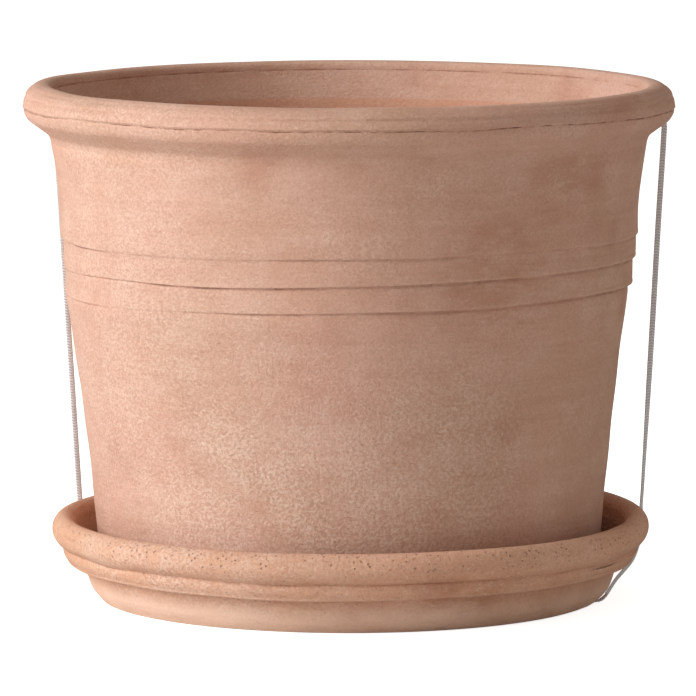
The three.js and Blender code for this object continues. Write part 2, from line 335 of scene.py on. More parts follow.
def pot_outline():
    ring_inside = POT_FOOT_RADIUS - POT_RING_WIDTH
    line = Outline(DRAIN_RADIUS, POT_FOOT + POT_FOOT_RECESS, "base")
    line.line(ring_inside - POT_FOOT_RECESS, POT_FOOT + POT_FOOT_RECESS, 9.0)
    line.line(ring_inside, POT_FOOT)
    line.line(POT_FOOT_RADIUS - POT_FOOT_ROUNDING, POT_FOOT, 4.0)
    side_foot = POT_FOOT + POT_FOOT_ROUNDING
    line.curve(POT_FOOT_RADIUS, POT_FOOT, POT_FOOT_RADIUS, side_foot, 1.2)
    # The side goes straight up past the ledges, which pot_shape() sets out from it one by one.
    line.part = "side"
    lowest_step = POT_TOP - STEP_DROPS[-1]
    hollow = (POT_FOOT_RADIUS + BODY_RADIUS) / 2 - BODY_HOLLOW
    line.curve(hollow, (side_foot + lowest_step) / 2, BODY_RADIUS, lowest_step - STEP_REACH, 4.0)
    for index in range(len(STEP_DROPS) - 1, -1, -1):
        edge = POT_TOP - STEP_DROPS[index]
        line.line(BODY_RADIUS, edge - 1.6, 0.6)
        line.line(BODY_RADIUS, edge + 0.9, 0.17)
        above = edge + 3.0 if index == 0 else POT_TOP - STEP_DROPS[index - 1] - STEP_REACH
        line.line(BODY_RADIUS, above, 1.1)
    neck = POT_TOP - NECK_DROP
    steps_in = WALL_TOP_RADIUS - BODY_RADIUS
    line.curve(BODY_RADIUS, (neck + POT_TOP - STEP_DROPS[0]) / 2, NECK_RADIUS - steps_in, neck - 0.4, 3.0)
    line.part = "lip"
    line.line(NECK_RADIUS, neck)
    under = POT_TOP - UNDER_DROP
    line.curve(NECK_RADIUS + COVE_REACH, under - 2 * COVE_REACH, NECK_RADIUS + UNDER_REACH, under, 0.9)
    roll_radius = LIP_RADIUS - ROLL_INSET
    roll = POT_TOP - ROLL_DROP
    line.line(roll_radius - 0.8, roll - 0.6, 1.2)
    line.curve(roll_radius + 0.1, roll, roll_radius + 0.6, roll + 0.8, 0.5)
    crease = POT_TOP - LIP_CREASE_DROP
    line.curve(LIP_RADIUS - 0.9, roll + 2.2, LIP_RADIUS - 0.4, crease - 1.2, 0.7)
    line.line(LIP_RADIUS - 0.2, crease + 0.7, 0.16)
    centre = POT_TOP - LIP_ROUNDING
    line.line(LIP_RADIUS, centre, 0.2)
    line.ellipse(LIP_RADIUS - LIP_ROUNDING, centre, LIP_ROUNDING, LIP_ROUNDING, 0, 90, 26)
    line.curve(MOUTH_RADIUS, POT_TOP, MOUTH_RADIUS, POT_TOP - MOUTH_DROP, 0.6)
    line.part = "mouth"
    line.line(MOUTH_RADIUS - 0.2, POT_TOP - MOUTH_DROP - 1.4, 0.2)
    seat = POT_TOP - SEAT_DROP
    line.line(MOUTH_RADIUS - SEAT_INSET, seat, 2.5)
    line.part = "inside"
    inner_top = WALL_TOP_RADIUS - POT_WALL
    inner_neck = POT_TOP - STEP_DROPS[0] + INNER_NECK_RISE
    floor = POT_FOOT + POT_FLOOR
    floor_radius = POT_FOOT_RADIUS - POT_WALL
    inner_foot = floor + POT_INNER_ROUNDING
    line.curve(inner_top, (seat + inner_neck) / 2, inner_top, inner_neck, 3.0)
    inner_middle = (inner_top + floor_radius) / 2 - BODY_HOLLOW
    line.curve(inner_middle, (inner_neck + inner_foot) / 2, floor_radius, inner_foot, 7.0)
    line.curve(floor_radius, floor, floor_radius - POT_INNER_ROUNDING, floor, 2.0)
    line.line(DRAIN_RADIUS, floor, 9.0)
    line.line(DRAIN_RADIUS, POT_FOOT + 4.0, 3.0)
    return line


def pot_shape():
    """The unevenness of a hand-finished pot, and where the turning tool left its ledges and creases, with
    painted shade in them.

    side, lip and mouth change the row's arrays in place.
    """
    rng = np.random.default_rng(SEED)
    lean = waves(rng, 2, 5)
    ledge_rise = [waves(rng, 1, 9, 0.9) for _ in STEP_DROPS]
    ledge_fade = [waves(rng, 1, 14, 0.5) for _ in STEP_DROPS]
    ledge_shade = [waves(rng, 3, 60, 0.3) for _ in STEP_DROPS]
    second_line = [waves(rng, 1, 8, 0.5) for _ in STEP_DROPS]
    crease_rise = waves(rng, 2, 30, 0.8)
    crease_depth = waves(rng, 3, 160, 0.25)
    facet_depth = waves(rng, 2, 30, 0.5)
    crest_wave = waves(rng, 2, 14, 0.8)
    mouth_depth = waves(rng, 3, 90, 0.4)
    swell = waves(rng, 1, 4, 0.6)

    def side(theta, z, radius, height, dark, worn):
        for index, drop in enumerate(STEP_DROPS):
            gap = z - (POT_TOP - drop)
            # Each ledge sets the wall in: at once where it is crisp, over 5 mm where it has faded.
            fade = np.clip(0.3 + 0.45 * ledge_fade[index](theta) + 0.12 * (1 - index), 0.0, 0.85)
            soft = smooth((2.6 - gap) / 5.2)
            fall = smooth((0.15 - gap) / 0.6)
            inset = STEP_INSET * (1 + LEDGE_LEAN[index] * np.sin(theta))
            radius += inset * (1 - fall - fade * (soft - fall))
            # Its edge is turned out a little, with a fine groove below that is darkened with painted shade.
            crisp = 1 - fade
            radius += 0.08 * crisp * bump_at(gap - 0.7, 0.8)
            radius -= 0.3 * crisp * bump_at(gap + 0.75, 0.5)
            slant = LEDGE_SLANT[index] * np.sin(theta) + LEDGE_DIP[index] * np.cos(2 * theta)
            height += (0.5 * ledge_rise[index](theta) + slant) * bump_at(gap, 4.5)
            groove_shade = np.clip(0.55 + 0.45 * ledge_shade[index](theta), 0.05, 1.2) * crisp
            dark += 0.75 * groove_shade * bump_at(gap + 0.5, 0.4)
            worn += 0.5 * crisp * bump_at(gap - 0.5, 0.5)
            # A second, fainter line runs above it, mostly on the right, also darkened with painted shade.
            ghost = np.clip(second_line[index](theta) + 0.7 * np.sin(theta), 0.0, 1.0)
            radius -= 0.16 * ghost * bump_at(gap - 2.4, 0.4)
            dark += 0.4 * ghost * groove_shade * bump_at(gap - 2.4, 0.35)
        # What the ledges' lean adds is taken off again, and the turning has left soft swells.
        radius -= STEP_INSET * sum(LEDGE_LEAN) * np.sin(theta) * smooth((z - 50) / 80)
        radius += 0.12 * np.sin(TURN * z / 31.0 + 2.0 * swell(theta))

    def lip(theta, r, z, radius, height, dark, worn):
        # The crease round the outside of the lip droops at the sides and is cut to an uneven depth, with
        # painted shade in it.
        gap = z - (POT_TOP - LIP_CREASE_DROP)
        bite = np.clip(0.8 + 0.5 * crease_depth(theta), 0.4, 1.7)
        droop = -0.55 * (1 - np.cos(2 * theta)) * bump_at(gap, 4.0)
        height += 0.3 * crease_rise(theta) * bump_at(gap, 3.0) + droop
        radius -= 0.5 * bite * bump_at(gap, 0.22)
        radius += 0.14 * bump_at(gap - 0.8, 0.5)
        dark += 1.1 * np.clip(bite - 0.3, 0, 1.2) * bump_at(gap, 0.15)
        # Above it the lip has a shallow facet with a little painted shade, and a fine line just outside its
        # crest.
        facet = z - (POT_TOP - LIP_FACET_DROP)
        if r > LIP_RADIUS - 3.0:
            cut_in = 0.75 + 0.35 * facet_depth(theta)
            radius -= 0.5 * cut_in * bump_at(facet, 0.6)
            radius += 0.28 * cut_in * bump_at(facet - 1.3, 0.8)
            dark += 0.14 * bump_at(facet, 0.6)
        if LIP_RADIUS - 8.0 < r < LIP_RADIUS - 3.0:
            below_crest = POT_TOP - 1.5 - z
            height -= 0.22 * (0.8 + 0.4 * facet_depth(theta + 1.0)) * bump_at(below_crest, 0.5)
        height += 0.16 * crest_wave(theta) * smooth((z - POT_TOP + 12) / 12)
        if r < LIP_RADIUS - 6:
            worn += 0.5 * bump_at(z - POT_TOP, 1.6)

    def mouth(theta, z, radius, height, dark):
        # A fine crease runs round just inside the mouth, fainter at the front, with painted shade in it.
        gap = z - (POT_TOP - MOUTH_DROP - 0.7)
        bite = np.clip(0.45 + 0.5 * mouth_depth(theta) - 0.3 * np.cos(theta), 0.05, 1.3)
        radius += 0.4 * bite * bump_at(gap, 0.3)
        dark += 0.4 * bite * bump_at(gap, 0.25)
        height += 0.16 * crest_wave(theta)

    def shape(theta, r, z, part):
        radius, height, dark, worn = (value + 0 * theta for value in (r, z, 0.0, 0.0))
        if part != "base":
            radius += 0.18 * lean(theta) * smooth((z - POT_FOOT) / 60)
        if part == "side":
            side(theta, z, radius, height, dark, worn)
        if part == "lip":
            lip(theta, r, z, radius, height, dark, worn)
        if part == "mouth":
            mouth(theta, z, radius, height, dark)
        # Below zero, the wear value marks the inside. Soft rings show there, darker mostly on the left:
        # partly turning marks and partly painted shade where the inside lies in shadow.
        if part == "inside" and z > POT_FOOT + POT_FLOOR + 4:
            radius += 0.18 * np.sin(TURN * z / 19.0 + 1.5 * swell(theta))
            worn -= 1.0
            rings = 1 + math.sin(TURN * z / 4.1) * math.sin(TURN * z / 11.0)
            dark += 0.16 * rings * (1 - np.sin(theta)) / 2
        return radius, height, dark, worn

    return shape


# ---- saucer ------------------------------------------------------------------------------


def saucer_outline():
    ring_inside = SAUCER_FOOT_RADIUS - SAUCER_RING_WIDTH
    line = Outline(0.0, SAUCER_FOOT_RECESS, "base")
    line.line(ring_inside - SAUCER_FOOT_RECESS, SAUCER_FOOT_RECESS, 12.0)
    line.line(ring_inside, 0.0)
    line.line(SAUCER_FOOT_RADIUS, 0.0, 4.0)
    line.part = "wall"
    lower = SAUCER_LOWER_RADIUS
    edge = (SAUCER_FOOT_RADIUS + lower) / 2 + SAUCER_FOOT_BULGE
    line.curve(edge, SAUCER_FOOT_ROUNDING / 2, lower, SAUCER_FOOT_ROUNDING, 0.6)
    line.line(SAUCER_WALL_RADIUS - 0.3, BAND_BOTTOM - 1.6, 1.1)
    line.curve(SAUCER_WALL_RADIUS, BAND_BOTTOM - 0.5, SAUCER_WALL_RADIUS + 1.6, BAND_BOTTOM - 0.3, 0.4)
    band_foot = BAND_RADIUS - BAND_TAPER
    line.line(band_foot - 1.6, BAND_BOTTOM, 1.4)
    line.curve(band_foot, BAND_BOTTOM, band_foot + 0.2, BAND_BOTTOM + 1.3, 0.35)
    line.curve(BAND_RADIUS, BAND_BOTTOM + 3.4, BAND_RADIUS, BAND_TOP - 1.6, 0.6)
    line.part = "groove"
    line.curve(BAND_RADIUS - 0.1, BAND_TOP - 0.3, BAND_RADIUS - 0.3, BAND_TOP, 0.25)
    line.curve(BAND_RADIUS + 0.4, BAND_TOP + 0.5, BAND_RADIUS + 0.9, BAND_TOP + 0.9, 0.25)
    line.part = "roll"
    equator = SAUCER_TOP - ROLL_HALF_HEIGHT
    line.curve(SAUCER_RADIUS, equator - 4.0, SAUCER_RADIUS, equator, 0.6)
    line.ellipse(SAUCER_RADIUS - ROLL_HALF_WIDTH, equator, ROLL_HALF_WIDTH, ROLL_HALF_HEIGHT, 0, 180, 34)
    line.part = "inside"
    inner = SAUCER_INNER_RADIUS
    line.line(inner, SAUCER_FLOOR + 4.5, 1.8)
    line.curve(inner, SAUCER_FLOOR, inner - 4.0, SAUCER_FLOOR, 0.9)
    line.line(0.0, SAUCER_FLOOR, 12.0)
    return line


def saucer_shape():
    """The unevenness of the saucer, the painted shade in its grooves, its corner and its inside, and the wear
    on its edges, with painted bounce light near the ground.
    """
    rng = np.random.default_rng(SEED + 1)
    lean = waves(rng, 2, 4)
    rim_rise = waves(rng, 1, 7, 0.9)
    groove_rise = waves(rng, 2, 26, 0.7)
    groove_depth = waves(rng, 2, 60, 0.5)
    band_rise = waves(rng, 1, 16, 0.8)
    rim_shape = waves(rng, 2, 30, 0.8)
    foot_shape = waves(rng, 4, 60, 0.5)

    def shape(theta, r, z, part):
        radius, height, dark, worn = (value + 0 * theta for value in (r, z, 0.0, 0.0))
        if part != "base" and r > SAUCER_INNER_RADIUS - 5:
            radius += 0.16 * lean(theta) + SAUCER_SHIFT * np.sin(theta)
            rear = REAR_RISE * (1 - np.cos(theta)) / 2 + CORNER_RISE * bump_at(theta - CORNER_TURN, 0.55)
            height += (0.3 * rim_rise(theta) + rear) * smooth((z - 10) / 20)
        # The wall is paler near the ground, partly rubbed and partly painted light bounced from the floor;
        # painted shade darkens the corner under the band, and the band's edge is rubbed.
        if part == "wall":
            height += 0.4 * band_rise(theta) * smooth((z - 8) / 7)
            radius += 0.12 * foot_shape(theta) * bump_at(z - 1.0, 3.0)
            worn += 0.45 * smooth((12 - z) / 8)
            in_corner = r < SAUCER_WALL_RADIUS + 3
            dark += 0.55 * in_corner * bump_at(z - (BAND_BOTTOM - 0.6), 0.5)
            worn += 0.5 * (not in_corner) * bump_at(z - (BAND_BOTTOM + 0.8), 0.7)
        # The groove between the band and the roll comes and goes, with painted shade in it.
        if part == "groove":
            bite = np.clip(0.45 + 0.4 * groove_depth(theta), 0.0, 0.8)
            height += 0.4 * groove_rise(theta)
            radius -= 0.3 * bite * bump_at(z - BAND_TOP, 0.45)
            dark += 0.3 * bite * bump_at(z - BAND_TOP, 0.5)
        if part == "roll":
            radius += 0.09 * rim_shape(theta)
            height += 0.4 * groove_rise(theta) * smooth((BAND_TOP + 4 - z) / 4)
            worn += 0.35 * bump_at(z - SAUCER_TOP, 1.5)
        # Painted shade: the inside is darkened below the rim, mostly on the right.
        if part == "inside":
            dark += 0.9 * np.clip(np.sin(theta) + 0.1, 0.0, 1.0) * smooth((SAUCER_TOP - 6 - z) / 4)
        return radius, height, dark, worn

    return shape


# ---- tie ---------------------------------------------------------------------------------

# The route of the tie in millimetres, the same points as in the CAD model. Points 3 and -4 are the bends
# where it enters the lip's underside, and points 18 to 22 are the straight run under the foot.
TIE_ROUTE = [
    (-113.3, 46.7, 206.8),
    (-119.0, 47.3, 206.3),
    (-124.7, 48.0, 205.7),
    (-127.2, 48.3, 204.9),
    (-128.3, 48.5, 202.6),
    (-128.2, 48.5, 198.0),
    (-125.9, 49.6, 160.0),
    (-123.4, 50.8, 118.0),
    (-120.9, 52.0, 76.0),
    (-119.0, 52.9, 44.0),
    (-118.4, 53.2, 34.0),
    (-118.2, 53.3, 29.6),
    (-117.5, 53.2, 25.7),
    (-115.6, 53.0, 22.0),
    (-112.1, 52.6, 15.4),
    (-105.5, 51.9, 7.0),
    (-100.6, 51.3, 2.6),
    (-97.9, 50.6, 1.0),
    (-94.4, 49.3, 0.9),
    (-60.0, 36.8, 0.9),
    (0.0, 14.9, 0.9),
    (60.0, -7.0, 0.9),
    (103.5, -22.9, 0.9),
    (107.3, -24.2, 1.0),
    (109.7, -21.9, 2.4),
    (115.3, -10.0, 8.2),
    (123.4, 4.3, 15.4),
    (126.3, 11.5, 21.5),
    (127.8, 18.3, 25.7),
    (128.0, 22.4, 29.6),
    (127.4, 24.2, 34.0),
    (127.9, 23.7, 44.0),
    (129.6, 22.0, 76.0),
    (131.8, 19.9, 118.0),
    (133.9, 17.9, 160.0),
    (136.0, 16.0, 198.0),
    (136.1, 16.0, 202.6),
    (135.0, 16.1, 204.9),
    (132.6, 16.4, 205.7),
    (126.9, 17.1, 206.3),
    (121.3, 17.8, 206.8),
]


def smooth_route(points, step):
    """A centripetal Catmull-Rom curve through the points, sampled about every step."""
    p = [Vector(q) for q in points]
    p = [2 * p[0] - p[1], *p, 2 * p[-1] - p[-2]]
    route = []
    for i in range(1, len(p) - 2):
        knots = [0.0]
        for a, b in zip(p[i - 1 : i + 2], p[i : i + 3]):
            knots.append(knots[-1] + math.sqrt((b - a).length))
        count = max(2, round((p[i + 1] - p[i]).length / step))
        for k in range(count):
            t = knots[1] + (knots[2] - knots[1]) * k / count
            route.append(catmull_rom(p[i - 1 : i + 3], knots, t))
    route.append(p[-2])
    return route


def catmull_rom(four, knots, t):
    """The curve's point at t, from four points and their knots, by the Barry-Goldman pyramid."""

    def between(a, b, low, high):
        return a * ((high - t) / (high - low)) + b * ((t - low) / (high - low))

    lines = [between(four[i], four[i + 1], knots[i], knots[i + 1]) for i in range(3)]
    arcs = [between(lines[i], lines[i + 1], knots[i], knots[i + 2]) for i in range(2)]
    return between(arcs[0], arcs[1], knots[1], knots[2])


def tape_normal(point):
    """Which way the flat of the tape faces: outwards on the clay, to the front in its free spans."""
    x, y, z = point
    on_right = x > 0
    outwards = Vector((x, y, 0)).normalized()
    if z < UNDER_FOOT:
        under = Vector((0, 0, -1))
        return under.lerp(outwards, 0.5 * smooth((z - TIE_LOWEST) / UNDER_FOOT)).normalized()
    # The left span has twisted to the front at the saucer's rim, and the right one only half way up.
    front = Vector((0.0 if on_right else 0.28, -1.0, 0.0)).normalized()
    at_rim = outwards.lerp(front, 0.45 if on_right else 0.97).normalized()
    at_hole = outwards + Vector((0, 0, 0.6))
    past_rim = smooth((z - 24) / 10)
    free = smooth((z - 40) / (90 if on_right else 20))
    near_hole = smooth((z - 202.5) / 2.5)
    return outwards.lerp(at_rim, past_rim).lerp(front, free).lerp(at_hole, near_hole).normalized()


def make_tape():
    """A flat braid: an edge bead on both sides and crossing strands that stand up in a small herringbone."""
    sides = TAPE_SIDES
    path = smooth_route(TIE_ROUTE, TAPE_STEP)
    along = [0.0]
    for a, b in zip(path, path[1:]):
        along.append(along[-1] + (b - a).length)
    verts, weaves = [], []
    for i, point in enumerate(path):
        tangent = (path[min(i + 1, len(path) - 1)] - path[max(i - 1, 0)]).normalized()
        normal = tape_normal(point)
        normal = (normal - normal.dot(tangent) * tangent).normalized()
        across = tangent.cross(normal)
        for k in range(sides):
            angle = TURN * k / sides
            c, s = math.cos(angle), math.sin(angle)
            # The section is a round-cornered flat, and the weave runs back from the middle to both edges.
            u = math.copysign(abs(c) ** 0.55, c)
            v = math.copysign(abs(s) ** 0.7, s)
            weave = math.cos(TURN * (along[i] / WEAVE_PERIOD + 0.4 * abs(u)))
            strands = math.cos(3.5 * math.pi * u)
            relief = 1 + 0.3 * weave * abs(s) + 0.1 * strands * abs(s)
            edge = 1 + 0.03 * math.cos(TURN * along[i] / WEAVE_PERIOD)
            offset = across * (u * edge * TAPE_WIDTH / 2) + normal * (v * relief * TAPE_THICKNESS / 2)
            verts.append((point + offset) * MM)
            # The dark paint is painted shade in the gaps between the strands.
            weaves.append(0.5 - 0.5 * weave)
    faces = tube_faces(len(path), sides, closed=False)
    faces.append(tuple(range(sides))[::-1])
    last = (len(path) - 1) * sides
    faces.append(tuple(last + k for k in range(sides)))
    tape = make_piece("tie_braid", verts, faces, dark=weaves)
    fix_normals(tape.data)
    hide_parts("tie_cord")
    return tape, [point * MM for point in path], along[-1] * MM


def tube_faces(rings, sides, closed):
    """The faces between rings of corners, and from the last ring to the first where the tube is closed."""
    faces = []
    for i in range(rings if closed else rings - 1):
        j = (i + 1) % rings
        for k in range(sides):
            n = (k + 1) % sides
            faces.append((i * sides + k, i * sides + n, j * sides + n, j * sides + k))
    return faces


def fix_normals(mesh):
    """Points every face outwards."""
    work = bmesh.new()
    work.from_mesh(mesh)
    bmesh.ops.recalc_face_normals(work, faces=work.faces)
    work.to_mesh(mesh)
    work.free()


def make_knot(name, node, inwards):
    """A tight overhand knot in the tape's end: a thick tube along a trefoil, the size of the CAD node."""
    low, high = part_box(node)
    centre = (Vector(low) + Vector(high)) / 2
    size = (high.z - low.z) / 2
    steps, sides = 96, 10
    thick = 0.33 * size
    loop = []
    for i in range(steps):
        t = TURN * i / steps
        x = (math.sin(t) + 2 * math.sin(2 * t)) / 3
        y = (math.cos(t) - 2 * math.cos(2 * t)) / 3
        z = -math.sin(3 * t) * 0.45
        loop.append(Vector((x, y, z)) * (size - thick))
    facing = inwards.to_track_quat("Z", "Y")
    verts = []
    for i, point in enumerate(loop):
        tangent = (loop[(i + 1) % steps] - loop[i - 1]).normalized()
        normal = tangent.cross(Vector((0, 0, 1))).normalized()
        across = tangent.cross(normal)
        for k in range(sides):
            angle = TURN * k / sides
            ring = normal * math.cos(angle) * thick + across * math.sin(angle) * thick * 0.8
            verts.append(centre + facing @ (point + ring))
    knot = make_piece(name, verts, tube_faces(steps, sides, closed=True))
    fix_normals(knot.data)
    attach(knot, "pot")
    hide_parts(node)
    return knot


# ---- materials ---------------------------------------------------------------------------

# Tones of the clay's marks, in 0-255 screen values.
FLUSH = (184, 130, 106)
WIPED = (178, 126, 100)
STREAK = (226, 190, 168)
SCRATCH = (232, 200, 180)
BLOOM_AND_LIGHT = (226, 192, 169)
STAIN = (176, 114, 78)
INSIDE = (212, 140, 102)
PALE_FLECK = (240, 214, 196)
DARK_FLECK = (134, 88, 64)
PALE_DOT = (236, 212, 194)
PIT_SHADE = (112, 70, 50)
GRAIN_SHADE = (110, 70, 52)
STIPPLE_SHADE = (140, 92, 70)
CREASE_SHADE = (110, 66, 46)
LIME_AND_BOUNCE = (240, 208, 184)
RUBBED_AND_LIT = (228, 190, 166)


def linear(red, green, blue):
    """A colour given in 0-255 screen values, as the linear numbers that shaders take."""
    values = [c / 255 for c in (red, green, blue)]
    return [v / 12.92 if v <= 0.04045 else ((v + 0.055) / 1.055) ** 2.4 for v in values] + [1.0]


class Shader:
    """Short calls that add nodes to one material and link them."""

    def __init__(self, name):
        self.material = bpy.data.materials.new(name)
        self.material.use_nodes = True
        self.tree = self.material.node_tree
        self.surface = self.tree.nodes["Principled BSDF"]
        self.place = self.tree.nodes.new("ShaderNodeTexCoord").outputs["Object"]
        self.colour = None

    def put(self, socket, value):
        """Links a node's output to the socket, or sets the socket to a number or a colour."""
        if isinstance(value, bpy.types.NodeSocket):
            self.tree.links.new(value, socket)
        else:
            socket.default_value = value

    def node(self, kind, **inputs):
        made = self.tree.nodes.new(kind)
        for key, value in inputs.items():
            self.put(made.inputs[key.replace("_", " ")], value)
        return made

    def noise(self, scale, detail=2.0, roughness=0.5, squash=1.0, shift=0.0):
        """Noise whose marks are squash times as wide as they are high. shift picks another pattern."""
        made = self.node("ShaderNodeTexNoise", Scale=scale, Detail=detail, Roughness=roughness)
        made.noise_dimensions = "4D"
        made.inputs["W"].default_value = shift
        place = self.place
        if squash != 1.0:
            mapping = self.node("ShaderNodeMapping", Vector=self.place)
            mapping.inputs["Scale"].default_value = (1, 1, squash)
            place = mapping.outputs["Vector"]
        self.put(made.inputs["Vector"], place)
        return made.outputs["Fac"]

    def cells(self, scale):
        return self.node("ShaderNodeTexVoronoi", Scale=scale, Vector=self.place)

    def spots(self, scale, share, inner, outer):
        """Small round spots: a share of the cells has one."""
        cells = self.cells(scale)
        spots = self.ramp(cells.outputs["Distance"], inner, outer, 1.0, 0.0)
        return self.times(spots, self.ramp(cells.outputs["Color"], 1 - share, 1.03 - share))

    def ramp(self, value, low, high, out_low=0.0, out_high=1.0):
        """An S-curve from out_low at low to out_high at high, level beyond them."""
        made = self.tree.nodes.new("ShaderNodeMapRange")
        made.interpolation_type = "SMOOTHSTEP"
        ends = {"From Min": low, "From Max": high, "To Min": out_low, "To Max": out_high}
        for key, number in ends.items():
            made.inputs[key].default_value = number
        self.put(made.inputs["Value"], value)
        return made.outputs["Result"]

    def math(self, operation, a, b=0.0, clamp=False):
        made = self.tree.nodes.new("ShaderNodeMath")
        made.operation = operation
        made.use_clamp = clamp
        self.put(made.inputs[0], a)
        self.put(made.inputs[1], b)
        return made.outputs[0]

    def times(self, a, b, clamp=False):
        return self.math("MULTIPLY", a, b, clamp)

    def mix(self, amount, a, b):
        made = self.tree.nodes.new("ShaderNodeMix")
        made.data_type = "RGBA"
        self.put(made.inputs[0], amount)
        self.put(made.inputs[6], a)
        self.put(made.inputs[7], b)
        return made.outputs[2]

    def lay(self, amount, tone):
        """Lays a tone, given in 0-255 screen values, over the colour so far."""
        self.colour = self.mix(amount, self.colour, linear(*tone))

    def attribute(self, name):
        made = self.tree.nodes.new("ShaderNodeAttribute")
        made.attribute_name = name
        return made.outputs["Fac"]

    def height(self):
        return self.node("ShaderNodeSeparateXYZ", Vector=self.place).outputs["Z"]

    def near(self, point, inner, outer):
        """1 within inner metres of a point, falling to 0 at outer."""
        made = self.tree.nodes.new("ShaderNodeVectorMath")
        made.operation = "DISTANCE"
        self.put(made.inputs[0], self.place)
        made.inputs[1].default_value = point
        return self.ramp(made.outputs["Value"], inner, outer, 1.0, 0.0)

    def bump(self, height, distance, strength, below=None):
        """A bump of distance metres for a height of 1, on top of the bumps below."""
        made = self.node("ShaderNodeBump", Height=height, Distance=distance, Strength=strength)
        if below is not None:
            self.put(made.inputs["Normal"], below)
        return made.outputs["Normal"]


class Clay(Shader):
    """Unglazed clay. Each layer is laid over the colour so far, and shift sets two pieces apart."""

    def __init__(self, name, shift):
        super().__init__(name)
        self.shift = shift
        self.grain = self.pattern(11, 1300, 2, 0.6)
        self.stipple = self.pattern(12, 760, 3, 0.7)
        self.wiped = self.pattern(7, 14, 5, 0.65, squash=16)
        self.fine = self.pattern(9, 26, 5, 0.7, squash=30)
        self.scratched = self.ramp(self.pattern(10.5, 9, 2, 0.5), 0.5, 0.62)
        self.outside = self.ramp(self.attribute("worn"), -0.6, -0.2)
        rough = self.math("MAXIMUM", self.times(self.scratched, 0.6), self.near(ROUGH_PLACE, 0.03, 0.085))
        self.rough = self.times(self.ramp(rough, 0.0, 1.0, 0.3, 1.0), self.outside)

    def pattern(self, number, scale, detail, roughness, squash=1.0):
        """Noise with a number of its own, so that no two layers share a pattern."""
        return self.noise(scale, detail, roughness, squash, self.shift + number)

    def tones(self, pink, tan, pale):
        """Clouds of two tones, paler patches and a redder flush."""
        clouds = self.ramp(self.pattern(0, 11, 3, 0.55), 0.36, 0.64)
        self.colour = self.mix(clouds, linear(*pink), linear(*tan))
        patches = self.ramp(self.pattern(3, 34, 4, 0.6, squash=1.3), 0.42, 0.68)
        self.lay(self.times(patches, 0.42), pale)
        flush = self.ramp(self.pattern(5, 19, 3, 0.6, squash=1.2), 0.52, 0.72)
        self.lay(self.times(flush, 0.5), FLUSH)

    def streaks(self):
        """Level streaks left by a wet hand, and fine scratches in some places."""
        self.lay(self.ramp(self.wiped, 0.42, 0.72, 0.0, 0.22), WIPED)
        self.lay(self.ramp(self.fine, 0.52, 0.8, 0.0, 0.22), STREAK)
        lines = self.ramp(self.pattern(10, 40, 2, 0.5, squash=60), 0.66, 0.72)
        self.lay(self.times(self.times(lines, self.scratched), 0.4), SCRATCH)

    def bloom_and_light(self, places):
        """Pale mineral salts, broken up by the stipple: faint all over, stronger in the places. Of these, the
        pot's two places on the left are painted highlight, and the saucer's is partly painted light bounced
        from the floor.
        """
        bloom_and_light = self.ramp(self.pattern(13, 26, 4, 0.6, squash=1.3), 0.52, 0.74, 0.0, 0.35)
        ragged = self.ramp(self.pattern(15, 48, 5, 0.65), 0.3, 0.62)
        for point, inner, outer, amount in places:
            patch = self.times(self.near(point, inner, outer), ragged)
            bloom_and_light = self.math("MAXIMUM", bloom_and_light, self.times(patch, amount))
        self.lay(self.times(bloom_and_light, self.ramp(self.stipple, 0.45, 0.57, 0.1, 1.0)), BLOOM_AND_LIGHT)

    def stains(self, places):
        smeared = self.ramp(self.pattern(16, 60, 5, 0.7, squash=3.0), 0.36, 0.62)
        for point, inner, outer, amount in places:
            stain = self.times(self.near(point, inner, outer), smeared)
            self.lay(self.times(stain, amount), STAIN)

    def grit(self):
        """Flecks and pale dots where the outside is rough. The pot's inside is smooth and redder."""
        self.lay(self.ramp(self.outside, 0.0, 1.0, 0.4, 0.0), INSIDE)
        flecks = self.pattern(20, 400, 3, 0.6, squash=2.6)
        self.lay(self.times(self.ramp(flecks, 0.58, 0.66, 0.0, 0.4), self.rough), PALE_FLECK)
        self.lay(self.times(self.ramp(flecks, 0.32, 0.4, 0.4, 0.0), self.rough), DARK_FLECK)
        grit = self.cells(700)
        dots = self.ramp(grit.outputs["Distance"], 0.12, 0.3, 1.0, 0.0)
        chosen = self.ramp(grit.outputs["Color"], 0.8, 0.84)
        self.lay(self.times(self.times(dots, chosen), self.times(self.rough, 0.4)), PALE_DOT)

    def pits(self, share):
        """Open pits, darkened with painted shade: most on the saucer's rim and the pot's lip, fewer on the
        walls.
        """
        small = self.spots(480, share, 0.13, 0.26)
        large = self.spots(120, 0.3 * share, 0.07, 0.12)
        height = self.height()
        pot_wall = self.times(self.ramp(height, 0.036, 0.045), self.ramp(height, 0.2, 0.206, 1.0, 0.0))
        above_saucer_wall = self.ramp(height, 0.024, 0.032, 0.25, 1.0)
        pitted = self.times(above_saucer_wall, self.ramp(pot_wall, 0.0, 1.0, 1.0, 0.3))
        self.holes = self.times(self.math("MAXIMUM", small, large), pitted)
        self.lay(self.times(self.holes, 0.5), PIT_SHADE)

    def shade(self):
        """The small shadows in the grain, and painted shade in the creases that the turning tool left, in the
        saucer's groove and corner, and on its shaded inside.
        """
        self.lay(self.ramp(self.grain, 0.3, 0.75, 0.2, 0.0), GRAIN_SHADE)
        self.lay(self.ramp(self.stipple, 0.3, 0.6, 0.18, 0.0), STIPPLE_SHADE)
        broken = self.ramp(self.pattern(17, 420, 3, 0.7, squash=2), 0.38, 0.58, 0.25, 1.0)
        # Painted shade: the dark paint darkens the creases, grooves, corners and shaded hollows that it
        # marks.
        self.creases = self.times(self.attribute("dark"), broken, clamp=True)
        self.lay(self.times(self.creases, 0.7), CREASE_SHADE)

